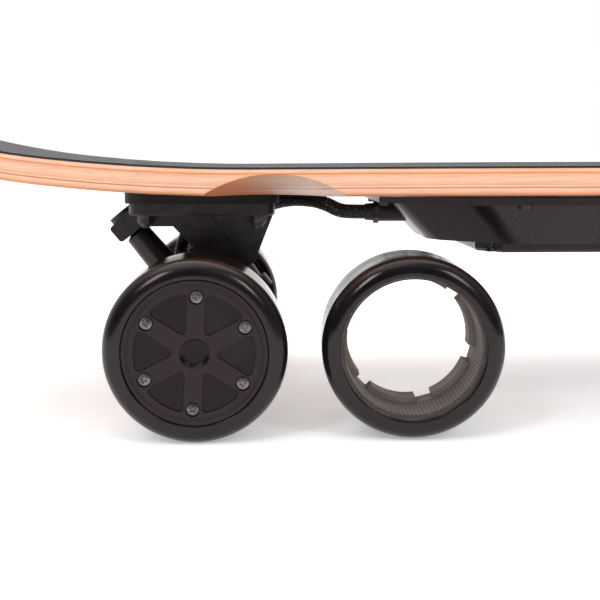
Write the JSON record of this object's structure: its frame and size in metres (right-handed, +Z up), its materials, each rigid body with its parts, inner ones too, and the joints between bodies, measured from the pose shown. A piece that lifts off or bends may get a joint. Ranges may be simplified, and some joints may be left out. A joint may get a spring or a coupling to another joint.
{
  "type": "electric skateboard",
  "caption": "Laminated deck with upturned ends, sprung trucks, hub motor wheels, an underslung battery box and a loose spare tyre.",
  "frame": {"origin": "middle of the footprint, on the floor that the wheels stand on", "axes": "+X forward along the board, away from the motor truck; +Z up; +Y to the rider's left"},
  "size_m": [0.96, 0.25, 0.1559],
  "materials": {
    "deck_wood": "clear lacquered maple ply with darker glue lines",
    "grip": "coarse matte grit",
    "riser": "matte moulded rubber",
    "truck_casting": "satin black powder coat",
    "dark_steel": "black oxide",
    "bright_steel": "bright zinc plate",
    "bushing": "satin poured urethane",
    "tyre": "glossy black poured urethane",
    "core": "moulded glass-filled nylon",
    "motor_shell": "black anodised",
    "magnet": "nickel plate",
    "lamination": "stacked electrical steel",
    "copper": "enamelled copper",
    "bearing": "ground steel with rubber seals",
    "cover": "satin moulded plastic",
    "hub_plastic": "satin moulded nylon",
    "box_plastic": "satin moulded plastic",
    "foam": "closed-cell foam",
    "cell_wrap": "shrink wrap",
    "circuit": "solder mask",
    "heat_plate": "extruded",
    "braid": "woven black sleeve",
    "gland": "moulded nylon",
    "button": "polished",
    "socket": "polished",
    "cap_rubber": "soft moulded rubber"
  },
  "bodies": {
    "board": {"deck": "deck_wood", "grip_tape": "grip", "riser_pads": "riser", "rear_baseplate": "truck_casting", "front_baseplate": "truck_casting", "pivot_cups": "bushing", "kingpins": "dark_steel", "kingpin_nuts": "dark_steel", "bushing_washers": "bright_steel", "rear_bushings": "bushing", "front_bushings": "bushing", "truck_bolts": "dark_steel", "truck_nuts": "dark_steel", "battery_box": "box_plastic", "box_lid": "box_plastic", "box_gasket": "foam", "box_screws": "dark_steel", "battery_cells": "cell_wrap", "cell_holder": "hub_plastic", "controller_board": "circuit", "controller_heatsink": "heat_plate", "cable_sleeve": "braid", "cable_gland": "gland", "button_bezel": "bright_steel", "charge_socket": "socket", "cap_pin": "dark_steel"},
    "rear_truck": {"rear_hanger": "truck_casting", "motor_axles": "bright_steel", "motor_stators": "lamination", "stator_windings": "copper"},
    "front_truck": {"front_hanger": "truck_casting", "front_axle": "bright_steel", "axle_nuts": "bright_steel", "axle_spacers": "bright_steel"},
    "rear_left_wheel": {"rear_left_tyre": "tyre", "rear_left_core": "core", "left_motor_can": "motor_shell", "left_motor_magnets": "magnet", "left_motor_bearings": "bearing", "left_motor_back": "motor_shell", "left_cover_plate": "cover", "left_motor_screws": "bright_steel"},
    "front_left_wheel": {"front_left_tyre": "tyre", "front_left_hub": "hub_plastic", "front_left_bearings": "bearing"},
    "rear_right_wheel": {"rear_right_tyre": "tyre", "rear_right_core": "core", "right_motor_can": "motor_shell", "right_motor_magnets": "magnet", "right_motor_bearings": "bearing", "right_motor_back": "motor_shell", "right_cover_plate": "cover", "right_motor_screws": "bright_steel"},
    "front_right_wheel": {"front_right_tyre": "tyre", "front_right_hub": "hub_plastic", "front_right_bearings": "bearing"},
    "power_button": {"power_button": "button"},
    "charge_cap": {"charge_cap": "cap_rubber"},
    "spare_tyre": {"spare_tyre": "tyre", "spare_core": "core"}
  },
  "joints": [
    {"name": "rear_steer", "type": "hinge", "parent": "board", "child": "rear_truck", "pos_m": [-0.363, 0, 0.0998], "axis": [0.8583, 0, -0.5131], "range_deg": [-12, 12], "stiffness_Nm_per_rad": 60, "deforming": ["rear_bushings"]},
    {"name": "front_steer", "type": "hinge", "parent": "board", "child": "front_truck", "pos_m": [0.363, 0, 0.0998], "axis": [-0.8583, 0, -0.5131], "range_deg": [-12, 12], "stiffness_Nm_per_rad": 60, "deforming": ["front_bushings"]},
    {"name": "rear_left_spin", "type": "hinge", "parent": "rear_truck", "child": "rear_left_wheel", "pos_m": [-0.32, 0.099, 0.045], "axis": [0, 1, 0], "continuous": true},
    {"name": "rear_right_spin", "type": "hinge", "parent": "rear_truck", "child": "rear_right_wheel", "pos_m": [-0.32, -0.099, 0.045], "axis": [0, 1, 0], "continuous": true},
    {"name": "front_left_spin", "type": "hinge", "parent": "front_truck", "child": "front_left_wheel", "pos_m": [0.32, 0.099, 0.045], "axis": [0, 1, 0], "continuous": true},
    {"name": "front_right_spin", "type": "hinge", "parent": "front_truck", "child": "front_right_wheel", "pos_m": [0.32, -0.099, 0.045], "axis": [0, 1, 0], "continuous": true},
    {"name": "button_press", "type": "slide", "parent": "board", "child": "power_button", "axis": [0, 0.9674, 0.2534], "range_m": [0, 0.0012], "stiffness_N_per_m": 600, "springref_m": -0.0005},
    {"name": "cap_swing", "type": "hinge", "parent": "board", "child": "charge_cap", "pos_m": [0.0984, -0.07126, 0.10184], "axis": [0, 0.2534, -0.9674], "range_deg": [0, 120]},
    {"name": "spare_pull", "type": "slide", "parent": "board", "child": "spare_tyre", "axis": [-0.0523, -0.9986, 0], "range_m": [0, 0.2]}
  ]
}
